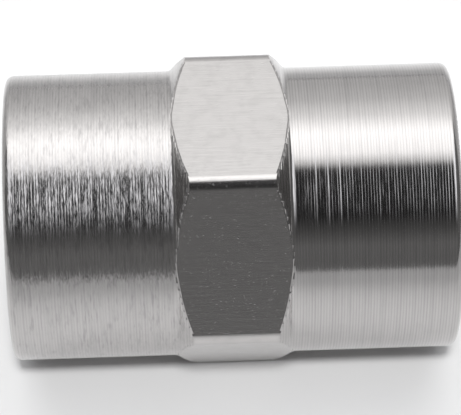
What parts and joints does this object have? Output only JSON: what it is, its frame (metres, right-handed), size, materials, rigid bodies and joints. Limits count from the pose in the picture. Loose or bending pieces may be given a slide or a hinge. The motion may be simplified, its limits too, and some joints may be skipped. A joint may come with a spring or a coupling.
{
  "type": "pipe coupling",
  "caption": "Straight pipe coupling turned from hexagonal bar, with a parallel female pipe thread in each end and a hexagonal collar for a spanner.",
  "frame": {"origin": "on the bore's axis, halfway along the coupling, at the centre of the hexagonal collar", "axes": "+X along the bore's axis, towards the right-hand port; +Z square to one of the flats, upwards as the coupling lies on the opposite flat; +Y through a corner of the hexagon"},
  "size_m": [0.0262, 0.0194, 0.017],
  "materials": {
    "nickel_plated_brass": "nickel plated over fine turning marks on the barrels, smooth drawn flats"
  },
  "bodies": {
    "root": {"coupling_body": "nickel_plated_brass"}
  },
  "joints": []
}
